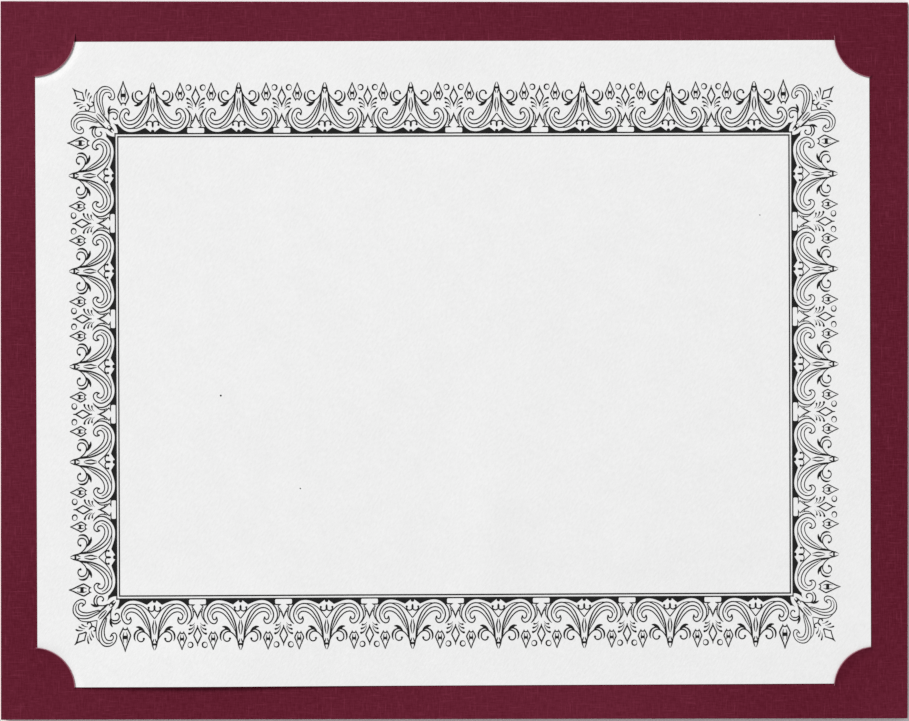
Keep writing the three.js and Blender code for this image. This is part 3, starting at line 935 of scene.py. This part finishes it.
def border_shapes():
    """Every inked shape, in millimetres from the border's middle: strips of lilies along the four sides,
    with the lozenge between neighbours, the flecks, the corners, and the thin rule inside the band."""
    half = BORDER_SIZE / 2
    strips = (
        (0, LILIES[0], (1, 1), (PEN_SPREAD, PEN_SPREAD)),
        (1, LILIES[1], SIDE_STRETCH, SIDE_SPREADS),
    )
    for axis, count, (along, across), spreads in strips:
        ends = half[axis] - END_LILY * along
        for side, spread in zip((-1, 1), spreads):
            lily, towards_lozenge, towards_corner = strip_art(spread)
            for number, place in enumerate(np.linspace(-ends, ends, count)):
                for way in (-1, 1):
                    at_end = number == (0 if way < 0 else count - 1)
                    for shape in lily + (towards_corner if at_end else towards_lozenge):
                        moved = np.empty_like(shape)
                        moved[..., axis] = place + way * along * PEN * shape[..., 0]
                        moved[..., 1 - axis] = side * (half[1 - axis] + across * PEN * shape[..., 1])
                        yield moved
    for fleck in FLECKS:
        yield dot(*fleck) - BORDER_MIDDLE
    for side, level, spread in CORNER_SPREADS:
        corner = [stroke(*each, spread) for each in CORNER_HALF] + [dot(*each) for each in CORNER_DOTS]
        for shape in mirrored(corner, diagonal=True):
            yield [side, level] * (half + shape * CORNER_STRETCH * PEN)
    for axis, end_way, side_way in ((0, SIDE_STRETCH[1], 1), (1, 1, SIDE_STRETCH[1])):
        for side in (-1, 1):
            share = np.linspace(-1, 1, RULE_POINTS)[:, None]
            rule = np.empty((RULE_POINTS, 2, 2))
            rule[..., axis] = share * (half[axis] - RULE_EDGES * end_way)
            rule[..., 1 - axis] = side * (half[1 - axis] - RULE_EDGES * side_way)
            yield rule


def border_print():
    """The ink film: each shape laid on the sheet's own surface, a hair above it, with its walls down in the
    paper. No two neighbours are level: shape after shape, the height goes up by the golden share of a layer,
    and round."""
    points, faces, rises, count = [], [], [], 0
    for number, shape in enumerate(border_shapes()):
        rows = len(shape)
        points.append(shape.reshape(-1, 2))
        faces.append(grid_faces(rows, 2, count))
        rises.append(np.full(2 * rows, INK_RISE + INK_LAYER * (number * GOLDEN_SHARE % 1)))
        count += 2 * rows
    flat_points = np.concatenate(points) + BORDER_MIDDLE
    rise = np.concatenate(rises)
    x, y = flat_points.T
    laid = np.stack([*on_sheet(x, y), paper_top(x, y) + rise], axis=1)
    faces = upright(laid, np.concatenate(faces))
    down = np.stack([0 * rise, 0 * rise, rise - INK_RISE + INK_DEPTH], axis=1)
    solid = thickened(laid, faces, laid - down)
    return piece("border_print", *solid[:2], [ink], smooth=False)


border = border_print()
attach(border, "certificate")


# The stage, the light and the camera

WHITE = linear("#ffffff")


def white_to_camera(tree, lit):
    """A shader that lights the scene as lit does, and shows plain white where it is seen straight, mirrored
    or through glass."""
    path = add_node(tree, "ShaderNodeLightPath")
    seen = add_node(tree, "ShaderNodeMath", {
        0: path.outputs["Is Camera Ray"], 1: path.outputs["Is Glossy Ray"],
    }, operation="MAXIMUM")
    seen = add_node(tree, "ShaderNodeMath", {
        0: seen.outputs[0], 1: path.outputs["Is Transmission Ray"],
    }, operation="MAXIMUM")
    white = add_node(tree, "ShaderNodeBackground", {"Color": WHITE, "Strength": 1.0})
    return add_node(tree, "ShaderNodeMixShader", {
        0: seen.outputs[0], 1: lit.outputs[0], 2: white.outputs[0],
    })


WORLD_LIGHT = 0.48
world = bpy.data.worlds.new("studio")
bpy.context.scene.world = world
world.use_nodes = True
world.node_tree.nodes.clear()
room = add_node(world.node_tree, "ShaderNodeBackground", {"Color": WHITE, "Strength": WORLD_LIGHT})
add_node(world.node_tree, "ShaderNodeOutputWorld", {
    "Surface": white_to_camera(world.node_tree, room).outputs[0],
})

floor_material, floor_tree, _ = new_material("studio_table_white_matt")
finish_material(floor_tree, add_node(floor_tree, "ShaderNodeBsdfPrincipled", {
    "Base Color": linear("#fdfdfd"), "Roughness": 0.9, "Specular IOR Level": 0.1,
}))
TABLE_HALF = 4000.0
TABLE_DROP = 0.02  # keeps the table's face and the cover's apart
floor_x, floor_y = np.meshgrid([-TABLE_HALF, 0, TABLE_HALF], [-TABLE_HALF, 0, TABLE_HALF])
floor_face = np.stack([floor_x, floor_y, np.full_like(floor_x, -TABLE_DROP)], axis=2)
floor_points, floor_faces = joined([floor_face])
piece("studio_table", floor_points, upright(floor_points, floor_faces), [floor_material])

KEY_PLACE = np.array([-5.2, 5.8, 6.2])  # metres
KEY_SIZE = 4.0
KEY_SHARE = 0.53  # of the light on a level surface; the world gives the rest
key = bpy.data.lights.new("key", "AREA")
key.shape = "DISK"
key.size = KEY_SIZE
distance = np.linalg.norm(KEY_PLACE)
# A level white surface shows a disk lamp's energy times the cosine of its slant over (pi distance) squared
key.energy = KEY_SHARE * math.pi**2 * distance**2 / (KEY_PLACE[2] / distance)
key_lamp = bpy.data.objects.new("key", key)
bpy.context.scene.collection.objects.link(key_lamp)
key_lamp.location = KEY_PLACE
key_lamp.rotation_mode = "QUATERNION"


def aimed(way):
    """The turn that points a lamp's or camera's -Z along a way, with its +Y kept up the certificate."""
    way = np.array(way) / np.linalg.norm(way)
    right = np.cross(way, [0, 1, 0])
    right /= np.linalg.norm(right)
    up = np.cross(right, way)
    turn = np.stack([right, up, -way], axis=1)
    w = math.sqrt(max(0, 1 + np.trace(turn))) / 2
    twist = np.array([turn[2, 1] - turn[1, 2], turn[0, 2] - turn[2, 0], turn[1, 0] - turn[0, 1]])
    return (w, *twist / (4 * w))


key_lamp.rotation_quaternion = aimed(-KEY_PLACE)

IMAGE_WIDTH = 909
PIXELS_PER_MM = 2.984
CAMERA_DISTANCE = 1600.0
CAMERA_AIM = -0.2  # across the panel's face, from its middle
CAMERA_REACH = 20.0  # metres
SENSOR_WIDTH = 36.0
CAMERA_LEAN = (-1.1, 0.3)  # degrees off the upright, across the sheet and up it
camera = bpy.data.cameras.new("camera")
camera.sensor_width = SENSOR_WIDTH
camera.lens = SENSOR_WIDTH * CAMERA_DISTANCE / (IMAGE_WIDTH / PIXELS_PER_MM)
camera.clip_end = CAMERA_REACH
camera_object = bpy.data.objects.new("camera", camera)
bpy.context.scene.collection.objects.link(camera_object)
lean = np.array([*np.tan(np.radians(CAMERA_LEAN)), 1.0])
lean /= np.linalg.norm(lean)
target = np.array([CAMERA_AIM, 0.0, panel_front])
camera_object.location = (target + CAMERA_DISTANCE * lean) * MM
camera_object.rotation_mode = "QUATERNION"
camera_object.rotation_quaternion = aimed(-lean)
bpy.context.scene.camera = camera_object
bpy.context.scene.view_settings.view_transform = "Standard"
